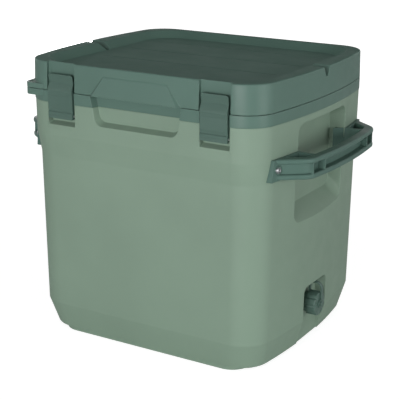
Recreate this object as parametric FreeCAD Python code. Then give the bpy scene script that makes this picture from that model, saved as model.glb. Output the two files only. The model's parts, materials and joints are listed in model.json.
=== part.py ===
import FreeCAD, Part
import math
import os

from FreeCAD import Vector

# Hard-sided cooler box: foamed body, hinged lid, two pull-down latches, two bolted side handles and a drain.
#
# Millimetres. +X is the right side seen from the front, +Y is the back, +Z is up.
# The origin is under the middle of the body, on the surface that the cooler stands on.

os.makedirs("parts", exist_ok=True)

# ---- overall size
BODY_WIDTH = 420.0          # across the bowed sides, at the seam
BODY_DEPTH = 364.0          # front face to back face, at the seam
SIDE_BOW = 18.5             # how far each side bulges between front and back
CORNER_RADIUS = 46.5
TOTAL_HEIGHT = 427.0
LID_THICKNESS = 42.4        # lid's top down to the top of the collar, where the lid closes
SEAM_GAP = 0.6
COLLAR_HEIGHT = 17.2

# ---- outer shell
SHELL_WALL = 3.0
COLLAR_OVERHANG = 0.6       # the shell stands this far inside the collar
SHOULDER_DROP = 66.6        # collar's top down to the shoulder
SHOULDER_HEIGHT = 33.0
FRONT_STEP = 8.3            # the front face steps in across the shoulder
SIDE_STEP = 3.4
BACK_STEP = 1.8
CHAMFER_TOP = 47.0
FRONT_TAPER = 10.0          # inset of each face at the top of the base chamfer
SIDE_TAPER = 6.8
BACK_TAPER = 3.2
FOOT_HEIGHT = 6.5
CHAMFER_REACH = 11.0        # how far the base chamfer runs in
FOOT_STEP = 2.5             # from the chamfer's lower edge in to the foot rim, front and back
FOOT_STEP_SIDE = 21.0
FOOT_RADIUS = 31.0
FOOT_WIDTH = 16.0

# ---- liner and foam
WALL_TOTAL = 42.0           # outside of the collar to the inside of the liner
LINER_WALL = 2.5
LINER_TAPER = 5.0
LINER_RADIUS = 26.0
FLOOR_HEIGHT = 52.0
COLLAR_WALL = 3.0

# ---- front latches
LATCH_INSET = 81.7          # body's side in to the latch's middle
LATCH_WIDTH = 42.6
LATCH_PROUD = 2.6           # how far the latch's face stands out of the front
LATCH_SHEET = 3.0
LATCH_FLANGE = 2.6
LATCH_RISE = 25.6           # how far the latch reaches above the collar's top
LATCH_DROP = 39.6           # and below it
LATCH_PIN_RISE = 5.2        # latch's lower edge up to the pin
LATCH_PIN_INSET = 2.4       # from the front face in to the pin's axis
LATCH_PIN_RADIUS = 1.6
LATCH_BARREL_RADIUS = 4.4
LID_RECESS_GAP = 3.2        # room beside the latch in the lid's slot, each side
BODY_RECESS_GAP = 1.9       # and in the body's
LID_RECESS_DEPTH = 7.4
BODY_RECESS_DEPTH = 11.0
BODY_RECESS_ROOM = 10.8     # room below the latch
BODY_RECESS_RAMP = 4.5
LATCH_FOLD = 4.6            # how far the fold under the tab steps in
CATCH_GAP = 0.4             # between the latch's fold and the lid's catch rib
CATCH_DROP = 16.0
CATCH_HEIGHT = 8.0

# ---- finger recess and lift lip at the front
LIP_HALF_TOP = 53.2
LIP_HALF_BOTTOM = 76.4
LIP_RISE = 29.2             # collar's top up to the lip's upper edge
FRONT_REACH = 5.0           # the lip's lower edge stands this far out
LIP_END_SLANT = 5.0
FINGER_HALF_BOTTOM = 68.0
FINGER_DROP = 43.7          # collar's top down to the recess's floor
FINGER_RADIUS = 13.0
FINGER_DEPTH = 12.0
FINGER_DRAFT = 1.8
FINGER_RAMP = 5.0

# ---- padlock lug at the front left corner
LUG_INSET = 14.4            # body's left side in to the lug's left face
LUG_WIDTH = 36.1
LUG_DEPTH = 32.0
LUG_ROUND = 11.0
LUG_LID_HEIGHT = 8.0
LUG_BODY_HEIGHT = 9.6
PADLOCK_RADIUS = 4.0
PADLOCK_INSET = 8.0         # hole axis from the lug's left and front faces

# ---- lid
LID_WALL = 3.2
LID_DRAFT = 0.8
LID_TOP_ROUND = 2.2
TRAY_DEPTH = 11.0
TRAY_SIDE_RIM = 25.5
TRAY_FRONT_RIM = 7.4
TRAY_BACK_RIM = 12.0
TRAY_RADIUS = 60.0
TRAY_SLOPE = 14.0
GROOVE_WIDTH = 3.0
GROOVE_DEPTH = 1.2
GROOVE_PITCH = 78.0
GROOVE_LAST = 71.0          # body's back in to the last groove
GROOVE_END = 34.5           # tray's side in to a groove's end
NOTCH_TOP_WIDTH = 19.0
NOTCH_BOTTOM_WIDTH = 7.0
NOTCH_DEPTH = 13.5
PLUG_DEPTH = 12.0
PLUG_GAP = 3.0
GASKET_WIDTH = 7.0
GASKET_HEIGHT = 2.2
GASKET_GAP = 0.15
GASKET_OFFSET = 6.0         # from the plug out to the gasket
GASKET_RADIUS = 26.5
FLANGE_SHEET = 4.5

# ---- hinges at the back
HINGE_INSET = 100.0         # body's side in to the hinge's middle
HINGE_WIDTH = 64.0
KNUCKLE_RADIUS = 4.4
HINGE_PIN_RADIUS = 2.0
RUNNING_CLEARANCE = 0.05
KNUCKLE_GAP = 0.4
LID_KNUCKLE_WIDTH = 23.0
LEAF_SHEET = 3.0
LEAF_FIT = 0.2
BRACKET_DROP = 14.6
LEAF_RISE = 16.0
HINGE_SCREW_OFFSET = 22.0
SCREW_RADIUS = 1.75
SCREW_HEAD_RADIUS = 3.5
SCREW_HEAD_HEIGHT = 1.75
SCREW_LENGTH = 9.0

# ---- side handles and their pockets
HANDLE_HEIGHT = 29.5
HANDLE_DROP = 79.2          # collar's top down to the middle of the grip
HANDLE_STANDOFF = 39.4      # body's side out to the outermost line of the grip
HANDLE_ARM = 37.0           # how far an arm runs along the side, from its plate's end to its elbow
HANDLE_BAR = 14.5           # depth of the bar, inside edge to outside edge
HANDLE_FLANGE = 7.6
HANDLE_FLANGE_ROUND = 3.0
HANDLE_WEB = 3.5
HANDLE_ARM_WEB_INSET = 5.0
HANDLE_BOW = 7.5
HANDLE_ROUND = 26.0
HANDLE_INNER_ROUND = 11.5
HANDLE_RIB = 3.0
HANDLE_RIB_INSET = 5.0      # elbow in to the first rib
HANDLE_RIB_STEP = 30.0      # first rib to the second
HANDLE_END_INSET = 36.0     # body's front or back in to the end plate
HANDLE_PLATE_SLANT = 4.0
HANDLE_PLATE_DROP = 1.5     # the plates reach this far below the bar
HANDLE_ROOT = 14.0
HANDLE_FOOT = 64.0          # length of an end plate along the side
HANDLE_PLATE = 3.5
HANDLE_FIT = 0.3
HANDLE_KEY = 18.0           # how far the wedge behind each arm reaches into the pocket
HANDLE_KEY_FLARE = 15.0     # how far the wedge widens towards its tip
HANDLE_KEY_CHIN = 7.0       # length of its first, flatter slope
HANDLE_KEY_CHIN_FLARE = 2.0
HANDLE_SCREW_INSET = 8.0    # end of the plate in to its screw
HANDLE_SCREW_RADIUS = 3.0
HANDLE_SCREW_HEAD = 5.0
HANDLE_SCREW_HEAD_HEIGHT = 4.0
HANDLE_SCREW_LENGTH = 20.0
SOCKET_ACROSS = 5.0
SOCKET_DEPTH = 2.4
INSERT_WALL = 1.5
INSERT_LENGTH = 12.0
POCKET_LEDGE = 2.0          # handle's arm wall in to the pocket's side
POCKET_DROP = 27.6          # collar's top down to the pocket
POCKET_HEIGHT = 150.0
POCKET_DEPTH = 25.0
POCKET_RAMP = 24.0
POCKET_DRAFT = 3.0
POCKET_RADIUS = 15.0

# ---- drain, low on the right side
DRAIN_FLOOR_GAP = 0.3       # tub's floor up to the spout's flange
DRAIN_RECESS_HALF = 38.0
DRAIN_RECESS_RISE = 35.5    # drain's axis up to the slot's top
DRAIN_RECESS_DEPTH = 24.0   # body's side in to the slot's back wall
DRAIN_RECESS_RADIUS = 10.0
DRAIN_RAMP = 4.0            # how far the slot's back wall runs out towards its foot
DRAIN_RECESS_DRAFT = 3.5
SPOUT_BORE = 6.8
SPOUT_WALL = 2.8
SPOUT_LIP = 1.6             # how far the flange stands out from the tube
SPOUT_FLANGE = 2.5
SPOUT_PROUD = 18.0          # how far the spout stands out of the slot's back wall
DRAIN_SEAL = 1.5
NUT_WALL = 3.9
NUT_THICKNESS = 5.0
CAP_WALL = 4.0
CAP_PROUD = 7.0             # spout's mouth out to the cap's face
CAP_SKIRT = 16.8
CAP_EDGE = 1.5
CAP_FLUTES = 8
CAP_FLUTE_RADIUS = 4.6
CAP_THREAD_WALL = 2.6
CAP_HOLLOW_GAP = 2.8        # width of the ring-shaped hollow round the threads
CAP_SKIRT_WALL = 3.7
THREAD_GAP = 0.3
TETHER_THICKNESS = 2.2
TETHER_WIDTH = 6.0
TETHER_OFFSET = 4.0         # the strap runs this far behind the drain's axis
TETHER_HEADROOM = 1.8       # strap's top up to the slot's top
TETHER_EYE = 6.4
TETHER_GAP = 0.4
STUD_RADIUS = 2.4
STUD_HEAD_RADIUS = 4.2
STUD_HEAD = 1.6
PIN_FIT = 0.02

# ---- derived places
FRONT = -BODY_DEPTH / 2
BACK = BODY_DEPTH / 2
SIDE = BODY_WIDTH / 2
SEAM_HEIGHT = TOTAL_HEIGHT - LID_THICKNESS
COLLAR_BOTTOM = SEAM_HEIGHT - COLLAR_HEIGHT
SHOULDER_TOP = SEAM_HEIGHT - SHOULDER_DROP
SHOULDER_BOTTOM = SHOULDER_TOP - SHOULDER_HEIGHT
LID_BASE = SEAM_HEIGHT + SEAM_GAP
LATCH_X = SIDE - LATCH_INSET
LATCH_TOP = SEAM_HEIGHT + LATCH_RISE
LATCH_BOTTOM = SEAM_HEIGHT - LATCH_DROP
LATCH_PIN_HEIGHT = LATCH_BOTTOM + LATCH_PIN_RISE
LID_RECESS_WIDTH = LATCH_WIDTH + 2 * LID_RECESS_GAP
BODY_RECESS_WIDTH = LATCH_WIDTH + 2 * BODY_RECESS_GAP
BODY_RECESS_BOTTOM = LATCH_BOTTOM - BODY_RECESS_ROOM
LIP_TOP = SEAM_HEIGHT + LIP_RISE
FINGER_BOTTOM = SEAM_HEIGHT - FINGER_DROP
LUG_LEFT = SIDE - LUG_INSET
LUG_RIGHT = LUG_LEFT - LUG_WIDTH
LUG_BACK = BACK - LUG_DEPTH
TRAY_HALF_WIDTH = SIDE - TRAY_SIDE_RIM
GROOVE_HALF = TRAY_HALF_WIDTH - GROOVE_END
HINGE_X = SIDE - HINGE_INSET
HINGE_Y = BACK + FRONT_REACH - KNUCKLE_RADIUS
HINGE_Z = SEAM_HEIGHT + SEAM_GAP / 2
HINGE_RELIEF = KNUCKLE_RADIUS + 0.5
PLUG_INSET = WALL_TOTAL + PLUG_GAP
PLUG_RADIUS = LINER_RADIUS - PLUG_GAP
HANDLE_CENTRE_HEIGHT = SEAM_HEIGHT - HANDLE_DROP
HANDLE_REACH = SIDE + HANDLE_STANDOFF
HANDLE_END = BACK - HANDLE_END_INSET
HANDLE_SCREW = HANDLE_END - HANDLE_SCREW_INSET
HANDLE_HALF_LENGTH = HANDLE_END - HANDLE_ARM
HANDLE_INNER = HANDLE_END - HANDLE_FOOT
HANDLE_RIBS = (HANDLE_HALF_LENGTH - HANDLE_RIB_INSET, HANDLE_HALF_LENGTH - HANDLE_RIB_INSET - HANDLE_RIB_STEP)
INSERT_RADIUS = HANDLE_SCREW_RADIUS + INSERT_WALL
POCKET_HALF = HANDLE_INNER - POCKET_LEDGE
POCKET_TOP = SEAM_HEIGHT - POCKET_DROP
POCKET_BOTTOM = POCKET_TOP - POCKET_HEIGHT
SPOUT_RADIUS = SPOUT_BORE + SPOUT_WALL
SPOUT_FLANGE_RADIUS = SPOUT_RADIUS + SPOUT_LIP
DRAIN_HEIGHT = FLOOR_HEIGHT + DRAIN_FLOOR_GAP + SPOUT_FLANGE_RADIUS
DRAIN_RECESS_TOP = DRAIN_HEIGHT + DRAIN_RECESS_RISE
DRAIN_RECESS_FLOOR = SIDE - DRAIN_RECESS_DEPTH
DRAIN_SHARE = (DRAIN_HEIGHT - FLOOR_HEIGHT) / (SEAM_HEIGHT - FLOOR_HEIGHT)
LINER_FACE = SIDE - WALL_TOTAL - LINER_TAPER * (1 - DRAIN_SHARE)
SPOUT_REACH = DRAIN_RECESS_FLOOR + SPOUT_PROUD
NUT_ACROSS = 2 * (SPOUT_RADIUS + NUT_WALL)
CAP_HOLLOW = SPOUT_RADIUS + CAP_THREAD_WALL + CAP_HOLLOW_GAP
CAP_RADIUS = CAP_HOLLOW + CAP_SKIRT_WALL
CAP_FACE = SPOUT_REACH + CAP_PROUD
TETHER_TOP = DRAIN_RECESS_TOP - TETHER_HEADROOM
OUT = 20.0                  # how far a cutting solid runs past the surface it opens


# ---- shared shapes

def box(x0, x1, y0, y1, z0, z1):
    """Block between two corners."""
    return Part.makeBox(x1 - x0, y1 - y0, z1 - z0, Vector(x0, y0, z0))


def cylinder(radius, start, end):
    """Round bar from one point to another."""
    along = end.sub(start)
    return Part.makeCylinder(radius, along.Length, start, along)


def cone(radius_start, radius_end, start, end):
    """Tapered bar from one point to another."""
    along = end.sub(start)
    return Part.makeCone(radius_start, radius_end, along.Length, start, along)


def fuse_all(solids):
    """One solid from many that overlap."""
    merged = solids[0]
    for extra in solids[1:]:
        merged = merged.fuse(extra)
    return merged.removeSplitter()


def mirror_x(shape):
    """The same shape on the other side of the cooler."""
    return shape.mirror(Vector(0, 0, 0), Vector(1, 0, 0))


def corner_centre(arc_centre, arc_radius, y_centre, radius):
    """X of a corner's centre, where the corner is tangent inside the bowed side."""
    reach = arc_radius - radius
    return arc_centre + math.sqrt(reach * reach - y_centre * y_centre)


def side_arc(side_inset):
    """Centre and radius of the right side's bow, for an outline inset by side_inset."""
    radius = (BACK * BACK + SIDE_BOW * SIDE_BOW) / (2 * SIDE_BOW)
    return SIDE - side_inset - radius, radius


def outline(z, side, front, back, radius=CORNER_RADIUS):
    """Closed plan outline at height z, each face inset by its own amount."""
    centre, arc_radius = side_arc(side)
    y_front = FRONT + front
    y_back = BACK - back
    cy_front = y_front + radius
    cy_back = y_back - radius
    cx_front = corner_centre(centre, arc_radius, cy_front, radius)
    cx_back = corner_centre(centre, arc_radius, cy_back, radius)

    def tangent(cx, cy):
        scale = arc_radius / (arc_radius - radius)
        return Vector(centre + (cx - centre) * scale, cy * scale, z)

    def middle(cx, cy, start, end):
        bisector = start.add(end).multiply(0.5).sub(Vector(cx, cy, z)).normalize()
        return Vector(cx, cy, z).add(bisector.multiply(radius))

    a = Vector(cx_front, y_front, z)
    b = tangent(cx_front, cy_front)
    c = tangent(cx_back, cy_back)
    d = Vector(cx_back, y_back, z)
    corner_front = middle(cx_front, cy_front, a, b)
    corner_back = middle(cx_back, cy_back, c, d)
    side_middle = Vector(centre + arc_radius, 0, z)

    def left(point):
        return Vector(-point.x, point.y, point.z)

    edges = [
        Part.Arc(a, corner_front, b).toShape(),
        Part.Arc(b, side_middle, c).toShape(),
        Part.Arc(c, corner_back, d).toShape(),
        Part.LineSegment(d, left(d)).toShape(),
        Part.Arc(left(d), left(corner_back), left(c)).toShape(),
        Part.Arc(left(c), left(side_middle), left(b)).toShape(),
        Part.Arc(left(b), left(corner_front), left(a)).toShape(),
        Part.LineSegment(left(a), a).toShape(),
    ]
    return Part.Wire(edges)


def loft(wires):
    """Straight-sided solid through a stack of outlines."""
    return Part.makeLoft(wires, True, True)


def prism(z0, z1, inset, radius=CORNER_RADIUS):
    """Upright block with the cooler's plan outline, inset evenly."""
    return loft([outline(z0, inset, inset, inset, radius), outline(z1, inset, inset, inset, radius)])


def rounded_rectangle(place, half_width, low, high, radius_low, radius_high):
    """Closed outline with rounded corners; place(u, v) puts a point of it in space."""
    w = half_width
    k = 1 - math.sqrt(0.5)
    corners = [
        (w, low, -1, 1, radius_low), (w, high, -1, -1, radius_high),
        (-w, high, 1, -1, radius_high), (-w, low, 1, 1, radius_low),
    ]
    arcs = []
    for index, (u, v, du, dv, r) in enumerate(corners):
        along_v = (place(u, v + dv * r), place(u + du * k * r, v + dv * k * r), place(u + du * r, v))
        arcs.append(along_v if index % 2 else along_v[::-1])
    edges = []
    for index, (start, mid, end) in enumerate(arcs):
        edges.append(Part.Arc(start, mid, end).toShape())
        following = arcs[(index + 1) % len(arcs)][0]
        edges.append(Part.LineSegment(end, following).toShape())
    return Part.Wire(edges)


def extrude_profile(points, x0, x1):
    """Solid from a side-view outline of (y, z) points, running from x0 to x1."""
    corners = [Vector(x0, y, z) for y, z in points]
    wire = Part.makePolygon(corners + [corners[0]])
    return Part.Face(wire).extrude(Vector(x1 - x0, 0, 0))


# ---- recesses, made grown by a wall for their pocket walls and plain for their cuts

def side_pocket(grow):
    """Space behind the right handle: upright sides, round corners and a ramp for a floor."""
    surface = SIDE - SIDE_STEP
    slope = POCKET_RAMP / POCKET_DEPTH
    draft = POCKET_DRAFT / POCKET_DEPTH

    def section(x):
        run = surface - x
        half = POCKET_HALF + grow - draft * run
        low = POCKET_BOTTOM - grow + slope * run
        high = POCKET_TOP + grow - draft * run
        radius = POCKET_RADIUS + grow
        return rounded_rectangle(lambda u, v: Vector(x, u, v), half, low, high, radius, radius)

    return loft([section(surface + OUT), section(surface - POCKET_DEPTH - grow)])


def drain_recess(grow):
    """Slot low on the right side, open downwards through the base chamfer."""
    surface = SIDE - SIDE_TAPER
    draft = DRAIN_RECESS_DRAFT / (surface - DRAIN_RECESS_FLOOR)

    def section(x):
        run = surface - x
        half = DRAIN_RECESS_HALF + grow - draft * run
        high = DRAIN_RECESS_TOP + grow - draft * run
        radius = DRAIN_RECESS_RADIUS + grow
        return rounded_rectangle(lambda u, v: Vector(x, u, v), half, -OUT, high, radius, radius)

    slot = loft([section(surface + OUT), section(DRAIN_RECESS_FLOOR - grow)])
    return slot.cut(drain_ramp(grow))


def drain_ramp(grow):
    """Wedge that brings the drain slot's back wall out towards the foot."""
    back = DRAIN_RECESS_FLOOR - grow
    low = FOOT_HEIGHT - grow
    points = [Vector(back - 1, -100, CHAMFER_TOP), Vector(back, -100, CHAMFER_TOP),
              Vector(back + DRAIN_RAMP, -100, low), Vector(back + DRAIN_RAMP, -100, -OUT - 1),
              Vector(back - 1, -100, -OUT - 1)]
    return Part.Face(Part.makePolygon(points + [points[0]])).extrude(Vector(0, 200, 0))


def body_latch_recess(grow):
    """Slot for the right latch, through the collar and the top of the shell, with a sloping floor."""
    half = BODY_RECESS_WIDTH / 2 + grow
    inner = FRONT + BODY_RECESS_DEPTH + grow
    slope = BODY_RECESS_RAMP / BODY_RECESS_DEPTH
    low = BODY_RECESS_BOTTOM - grow
    profile = [
        (FRONT - OUT, low - slope * OUT), (inner, low + slope * (BODY_RECESS_DEPTH + grow)),
        (inner, SEAM_HEIGHT + OUT), (FRONT - OUT, SEAM_HEIGHT + OUT),
    ]
    return extrude_profile(profile, LATCH_X - half, LATCH_X + half)


def lid_latch_recess(grow):
    """Slot for the right latch in the lid, open at the lid's top and bottom."""
    half = LID_RECESS_WIDTH / 2 + grow
    inner = FRONT + LID_RECESS_DEPTH + grow
    return box(LATCH_X - half, LATCH_X + half, FRONT - OUT, inner, LID_BASE - OUT, TOTAL_HEIGHT + OUT)


def finger_recess(grow):
    """Space for the fingers under the lid's lift lip."""
    side_slope = (LIP_HALF_BOTTOM - FINGER_HALF_BOTTOM) / (SEAM_HEIGHT - FINGER_BOTTOM)

    def section(y):
        run = y - FRONT
        half = FINGER_HALF_BOTTOM + grow - FINGER_DRAFT / FINGER_DEPTH * run
        low = FINGER_BOTTOM - grow + FINGER_RAMP / FINGER_DEPTH * run
        high = SEAM_HEIGHT + OUT
        top_half = half + side_slope * (high - low)
        return tub_outline(y, half, top_half, low, high, FINGER_RADIUS + grow)

    return loft([section(FRONT - OUT), section(FRONT + FINGER_DEPTH + grow)])


def tub_outline(y, half_low, half_high, low, high, radius):
    """Front-view outline, wider at the top, with its two lower corners rounded."""
    def corner(sign):
        foot = Vector(sign * half_low, y, low)
        up = Vector(sign * half_high, y, high).sub(foot).normalize()
        across = Vector(-sign, 0, 0)
        half_angle = up.getAngle(across) / 2
        trim = radius / math.tan(half_angle)
        centre_way = up.add(across).normalize()
        to_centre = radius / math.sin(half_angle)
        wall_end = foot.add(up.multiply(trim))
        floor_end = foot.add(across.multiply(trim))
        mid = foot.add(centre_way.multiply(to_centre - radius))
        return wall_end, mid, floor_end

    r_wall, r_mid, r_floor = corner(1)
    l_wall, l_mid, l_floor = corner(-1)
    top_right = Vector(half_high, y, high)
    top_left = Vector(-half_high, y, high)
    edges = [
        Part.LineSegment(top_right, r_wall).toShape(),
        Part.Arc(r_wall, r_mid, r_floor).toShape(),
        Part.LineSegment(r_floor, l_floor).toShape(),
        Part.Arc(l_floor, l_mid, l_wall).toShape(),
        Part.LineSegment(l_wall, top_left).toShape(),
        Part.LineSegment(top_left, top_right).toShape(),
    ]
    return Part.Wire(edges)


def body_recesses(grow):
    """Every recess in the body's outside."""
    pocket = side_pocket(grow)
    latch = body_latch_recess(grow)
    return [pocket, mirror_x(pocket), latch, mirror_x(latch), finger_recess(grow), drain_recess(grow)]


# ---- body

def shell_outside():
    """Outside of the shell: shoulder, tapered faces, base chamfer and foot rim."""
    over = COLLAR_OVERHANG
    run = CHAMFER_REACH
    sections = [
        outline(COLLAR_BOTTOM, over, over, over),
        outline(SHOULDER_TOP, 2 * over, 1.5 * over, 1.5 * over),
        outline(SHOULDER_BOTTOM, SIDE_STEP, FRONT_STEP, BACK_STEP),
        outline(CHAMFER_TOP, SIDE_TAPER, FRONT_TAPER, BACK_TAPER),
        outline(FOOT_HEIGHT, SIDE_TAPER + run, FRONT_TAPER + run, BACK_TAPER + run),
    ]
    return loft(sections[::-1])


def foot_rim():
    """Rim that the cooler stands on."""
    run = CHAMFER_REACH + FOOT_STEP
    side = SIDE_TAPER + CHAMFER_REACH + FOOT_STEP_SIDE
    insets = (side, FRONT_TAPER + run, BACK_TAPER + run)
    inner = [inset + FOOT_WIDTH for inset in insets]
    radius = FOOT_RADIUS - FOOT_WIDTH
    outer = loft([outline(0, *insets, FOOT_RADIUS), outline(FOOT_HEIGHT + 1, *insets, FOOT_RADIUS)])
    hollow = loft([outline(-1, *inner, radius), outline(FOOT_HEIGHT, *inner, radius)])
    return outer.cut(hollow)


def foam_space():
    """Everything inside the shell and under the collar's top."""
    w = SHELL_WALL
    run = CHAMFER_REACH
    radius = CORNER_RADIUS - w
    over = COLLAR_OVERHANG + w
    sections = [
        outline(FOOT_HEIGHT + w, SIDE_TAPER + run + w, FRONT_TAPER + run + w, BACK_TAPER + run + w, radius),
        outline(CHAMFER_TOP + w, SIDE_TAPER + w, FRONT_TAPER + w, BACK_TAPER + w, radius),
        outline(SHOULDER_BOTTOM, SIDE_STEP + w, FRONT_STEP + w, BACK_STEP + w, radius),
        outline(SHOULDER_TOP, over, over, over, radius),
        outline(SEAM_HEIGHT - COLLAR_WALL, over, over, over, radius),
    ]
    return loft(sections)


def outer_shell(outside):
    """Moulded skin with its pocket walls, handle bosses and latch pin holes."""
    inside = foam_space().fuse(prism(COLLAR_BOTTOM - 1, COLLAR_BOTTOM + 1, COLLAR_OVERHANG + SHELL_WALL,
                                     CORNER_RADIUS - SHELL_WALL))
    walls = fuse_all(body_recesses(SHELL_WALL)).common(outside)
    skin = outside.cut(inside).fuse(walls).fuse(handle_bosses().common(outside)).fuse(foot_rim())
    skin = skin.cut(fuse_all(body_recesses(0)))
    skin = skin.cut(both_sides(latch_pin_bar(PIN_FIT))).cut(handle_fixing_holes()).cut(drain_hole())
    return skin.removeSplitter()


def liner_solid(wall):
    """Tub shape of the liner, grown outwards by wall."""
    top_inset = WALL_TOTAL - wall
    low_inset = WALL_TOTAL + LINER_TAPER - wall
    radius = LINER_RADIUS + wall
    low = outline(FLOOR_HEIGHT - wall, low_inset, low_inset, low_inset, radius)
    high = outline(SEAM_HEIGHT, top_inset, top_inset, top_inset, radius)
    return loft([low, high])


def inner_liner():
    """Food-side tub, with the drain hole low on the right."""
    tub = liner_solid(LINER_WALL).cut(liner_solid(0).fuse(prism(SEAM_HEIGHT - 1, SEAM_HEIGHT + 1, WALL_TOTAL,
                                                                 LINER_RADIUS)))
    return tub.cut(drain_hole())


def rim_collar():
    """Glossy band that caps the walls: outer band, sealing deck and the padlock lug's lower half."""
    band = prism(COLLAR_BOTTOM, SEAM_HEIGHT, 0)
    inside = prism(COLLAR_BOTTOM - 1, SEAM_HEIGHT - COLLAR_WALL, COLLAR_OVERHANG + SHELL_WALL,
                   CORNER_RADIUS - SHELL_WALL)
    ring = band.cut(inside).cut(liner_solid(LINER_WALL))
    walls = [shape.common(band) for shape in body_recesses(SHELL_WALL)[2:5]]
    ring = fuse_all([ring, lock_lug(SEAM_HEIGHT - LUG_BODY_HEIGHT, SEAM_HEIGHT)] + walls)
    ring = ring.fuse(both_sides(hinge_boss(COLLAR_BOTTOM, SEAM_HEIGHT - 1)))
    cuts = body_recesses(0)[2:5] + [both_sides(bracket_pocket()), padlock_hole()]
    for cut in cuts:
        ring = ring.cut(cut)
    return ring.cut(both_sides(bracket_screw_bars(PIN_FIT))).removeSplitter()


def insulation_foam(shell, collar):
    """Foam poured between the shell and the liner."""
    foam = foam_space().cut(liner_solid(LINER_WALL)).cut(fuse_all(body_recesses(SHELL_WALL)))
    foam = foam.cut(fuse_parts(handle_bosses())).cut(both_sides(hinge_boss(COLLAR_BOTTOM, SEAM_HEIGHT)))
    foam = foam.cut(both_sides(latch_pin_bar(PIN_FIT))).cut(drain_hole())
    return foam.cut(shell).cut(collar)


# ---- padlock lug

def lock_lug(z0, z1):
    """Lug that wraps the front left corner between two heights."""
    r = LUG_ROUND
    left = -LUG_LEFT
    bend = r * (1 - math.sqrt(0.5))
    a = Vector(-LUG_RIGHT, FRONT, z0)
    b = Vector(left + r, FRONT, z0)
    c = Vector(left, FRONT + r, z0)
    d = Vector(left, -LUG_BACK, z0)
    inner = Vector(-LUG_RIGHT, -LUG_BACK, z0)
    edges = [
        Part.LineSegment(a, b).toShape(),
        Part.Arc(b, Vector(left + bend, FRONT + bend, z0), c).toShape(),
        Part.LineSegment(c, d).toShape(),
        Part.LineSegment(d, inner).toShape(),
        Part.LineSegment(inner, a).toShape(),
    ]
    lug = Part.Face(Part.Wire(edges)).extrude(Vector(0, 0, z1 - z0))
    return lug.cut(prism(z0 - 1, z1 + 1, COLLAR_WALL, CORNER_RADIUS - COLLAR_WALL))


def padlock_hole():
    """Upright hole for a padlock's shackle, through both halves of the lug."""
    x = -LUG_LEFT + PADLOCK_INSET
    y = FRONT + PADLOCK_INSET
    return cylinder(PADLOCK_RADIUS, Vector(x, y, COLLAR_BOTTOM - OUT), Vector(x, y, LID_BASE + OUT))


# ---- lid

def tray(grow):
    """Dished tray in the lid's top."""
    top = TOTAL_HEIGHT + 2
    floor = TOTAL_HEIGHT - TRAY_DEPTH - grow
    slope = TRAY_SLOPE / TRAY_DEPTH

    def section(z):
        run = slope * (TOTAL_HEIGHT - z)
        half_width = TRAY_HALF_WIDTH + grow - run
        y_front = FRONT + TRAY_FRONT_RIM - grow + run
        y_back = BACK - TRAY_BACK_RIM + grow - run
        radius = TRAY_RADIUS + grow - run
        return rounded_rectangle(lambda u, v: Vector(u, v, z), half_width, y_front, y_back, radius, radius)

    return loft([section(floor), section(top)])


def tray_grooves():
    """Three shallow drain grooves across the tray's floor."""
    floor = TOTAL_HEIGHT - TRAY_DEPTH
    grooves = []
    for index in range(3):
        y = BACK - GROOVE_LAST - index * GROOVE_PITCH
        grooves.append(box(-GROOVE_HALF, GROOVE_HALF, y - GROOVE_WIDTH / 2, y + GROOVE_WIDTH / 2,
                           floor - GROOVE_DEPTH, floor + 1))
    return grooves


def tie_down_notch(grow):
    """Slot across the right rim of the lid, for a strap or a rope."""
    x0 = TRAY_HALF_WIDTH - TRAY_SLOPE - grow
    x1 = SIDE + OUT
    top = NOTCH_TOP_WIDTH / 2 + grow
    low = NOTCH_BOTTOM_WIDTH / 2 + grow
    floor = TOTAL_HEIGHT - NOTCH_DEPTH - grow
    rise = (top - low) / (NOTCH_DEPTH + grow)
    above = TOTAL_HEIGHT + 2
    profile = [(-low, floor), (low, floor), (top + 2 * rise, above), (-top - 2 * rise, above)]
    return extrude_profile(profile, x0, x1)


def lift_lip():
    """Wedge on the lid's front that the fingers pull on."""
    low = LID_BASE
    outer_half = LIP_HALF_BOTTOM - LIP_END_SLANT
    root = FRONT + 1
    back = [Vector(-LIP_HALF_TOP, root, LIP_TOP), Vector(LIP_HALF_TOP, root, LIP_TOP),
            Vector(LIP_HALF_BOTTOM, root, low), Vector(-LIP_HALF_BOTTOM, root, low)]
    front = [Vector(-LIP_HALF_TOP, FRONT - 0.05, LIP_TOP), Vector(LIP_HALF_TOP, FRONT - 0.05, LIP_TOP),
             Vector(outer_half, FRONT - FRONT_REACH, low), Vector(-outer_half, FRONT - FRONT_REACH, low)]
    rings = [Part.makePolygon(ring + [ring[0]]) for ring in (back, front)]
    return Part.makeLoft(rings, True, True)


def catch_rib():
    """Rib in the lid's slot that the right latch's hook closes over."""
    hook = FRONT - LATCH_PROUD + LATCH_FOLD + LATCH_SHEET
    half = LATCH_WIDTH / 2 - LATCH_FLANGE - 2
    low = LATCH_TOP - CATCH_DROP - CATCH_HEIGHT
    high = low + CATCH_HEIGHT
    return box(LATCH_X - half, LATCH_X + half, hook + CATCH_GAP, FRONT + LID_RECESS_DEPTH + 1, low, high)


def lid_space():
    """Hollow inside the lid's skin."""
    w = LID_WALL
    radius = CORNER_RADIUS - w
    low = outline(LID_BASE - 1, w, w, w, radius)
    high = outline(TOTAL_HEIGHT - w, w + LID_DRAFT, w + LID_DRAFT, w + LID_DRAFT, radius)
    hollow = loft([low, high]).cut(tray(w))
    notch = tie_down_notch(w)
    recess = lid_latch_recess(w)
    boss = hinge_boss(LID_BASE, LID_BASE + LEAF_RISE + LID_WALL)
    for wall in (notch, mirror_x(notch), recess, mirror_x(recess), boss, mirror_x(boss)):
        hollow = hollow.cut(wall)
    return hollow


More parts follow.
